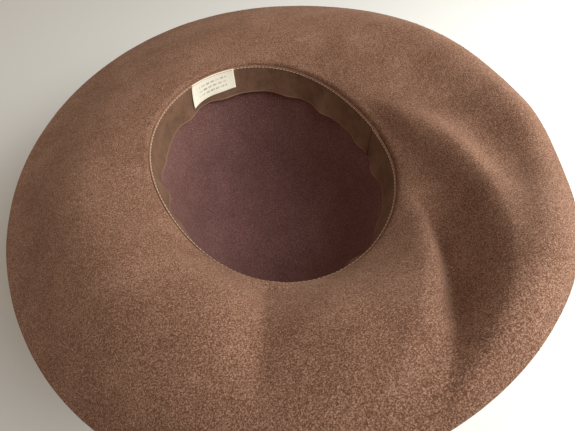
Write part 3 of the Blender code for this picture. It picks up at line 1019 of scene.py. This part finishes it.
class HAT_OT_fibres(bpy.types.Operator):
    """Raises the loose fibres of the nap and drops a little lint"""

    bl_idname = "hat.fibres"
    bl_label = "Fibres"

    def execute(self, context):
        kinds = (
            ("felt_nap", "brown_felt", sizes().fibre_density, sizes().fibre_long, 0.25 * MM, 11),
            ("felt_lint", "pale_lint", sizes().lint_density, sizes().lint_long, 0.5 * MM, 12),
        )
        for name, finish, density, length, rise, seed in kinds:
            base = bpy.data.objects["felt_brim"].data.copy()
            mesh = grown(
                name,
                base,
                fibre_tree(),
                Density=density,
                Length=length,
                Thickness=sizes().fibre_thick,
                Rise=rise,
                Seed=seed,
                Material=bpy.data.materials[finish],
            )
            new_piece(name, mesh, finish, "felt")
        return {"FINISHED"}


def from_head(place):
    """A point placed from the middle of the head line."""
    return Vector((0.0, 0.0, HEAD_LINE)) + Vector(place)


def add_floor(scene):
    mesh = bpy.data.meshes.new("floor")
    corners = [(x * FLOOR_HALF, y * FLOOR_HALF, 0) for x, y in ((-1, -1), (1, -1), (1, 1), (-1, 1))]
    mesh.from_pydata(corners, [], [(0, 1, 2, 3)])
    floor = bpy.data.objects.new("floor", mesh)
    scene.collection.objects.link(floor)
    _, shader = new_material("pale_floor", 0.9)
    shader.inputs["Base Color"].default_value = (*FLOOR_COLOUR, 1)
    mesh.materials.append(bpy.data.materials["pale_floor"])


def add_world(scene):
    scene.world = bpy.data.worlds.new("studio")
    scene.world.use_nodes = True
    background = scene.world.node_tree.nodes["Background"]
    background.inputs["Color"].default_value = (*WORLD_COLOUR, 1)
    background.inputs["Strength"].default_value = WORLD_STRENGTH


def add_light(scene, name, size, energy, colour, azimuth, elevation, reach):
    """A square area light that faces the camera's aim."""
    light_data = bpy.data.lights.new(name, "AREA")
    light_data.size, light_data.energy, light_data.color = size, energy, colour
    light = bpy.data.objects.new(name, light_data)
    level = math.cos(elevation)
    towards = Vector((level * math.cos(azimuth), level * math.sin(azimuth), math.sin(elevation)))
    light.location = from_head(AIM) + towards * reach
    light.rotation_mode = "QUATERNION"
    light.rotation_quaternion = towards.to_track_quat("Z", "Y")
    scene.collection.objects.link(light)


def add_camera(scene):
    camera_data = bpy.data.cameras.new("camera")
    camera_data.lens, camera_data.sensor_width = LENS_MM, SENSOR_MM
    camera = bpy.data.objects.new("camera", camera_data)
    camera.location = from_head(CAMERA_PLACE)
    camera.rotation_mode = "QUATERNION"
    look = (camera.location - from_head(AIM)).to_track_quat("Z", "Y")
    camera.rotation_quaternion = look @ Quaternion((0, 0, 1), CAMERA_ROLL)
    scene.collection.objects.link(camera)
    scene.camera = camera


class HAT_OT_stage(bpy.types.Operator):
    """Sets the floor, the lights and the camera"""

    bl_idname = "hat.stage"
    bl_label = "Stage"

    def execute(self, context):
        add_floor(context.scene)
        add_world(context.scene)
        for light in LIGHTS:
            add_light(context.scene, *light)
        add_camera(context.scene)
        context.scene.view_settings.view_transform = "Standard"
        return {"FINISHED"}


class HAT_PT_panel(bpy.types.Panel):
    """Lists the hat's pieces"""

    bl_idname = "HAT_PT_panel"
    bl_label = "Felt Hat"
    bl_space_type = "VIEW_3D"
    bl_region_type = "UI"
    bl_category = "Felt Hat"

    def draw(self, context):
        for operator in OPERATORS:
            self.layout.operator(operator.bl_idname)


OPERATORS = (
    HAT_OT_materials,
    HAT_OT_brim,
    HAT_OT_crown,
    HAT_OT_sweatband,
    HAT_OT_label,
    HAT_OT_stitches,
    HAT_OT_hatband,
    HAT_OT_bow,
    HAT_OT_fibres,
    HAT_OT_stage,
)
CLASSES = (HatSizes, HatColours, *OPERATORS, HAT_PT_panel)


def register():
    for each in CLASSES:
        bpy.utils.register_class(each)
    bpy.types.Scene.hat_sizes = PointerProperty(type=HatSizes)
    bpy.types.Scene.hat_colours = PointerProperty(type=HatColours)


def unregister():
    del bpy.types.Scene.hat_colours
    del bpy.types.Scene.hat_sizes
    for each in reversed(CLASSES):
        bpy.utils.unregister_class(each)


def main():
    register()
    bpy.ops.hat.materials()
    bpy.ops.hat.brim()
    bpy.ops.hat.crown()
    bpy.ops.hat.sweatband()
    bpy.ops.hat.label()
    bpy.ops.hat.stitches()
    bpy.ops.hat.hatband()
    bpy.ops.hat.bow()
    bpy.ops.hat.fibres()
    bpy.ops.hat.stage()


if __name__ == "__main__":
    main()
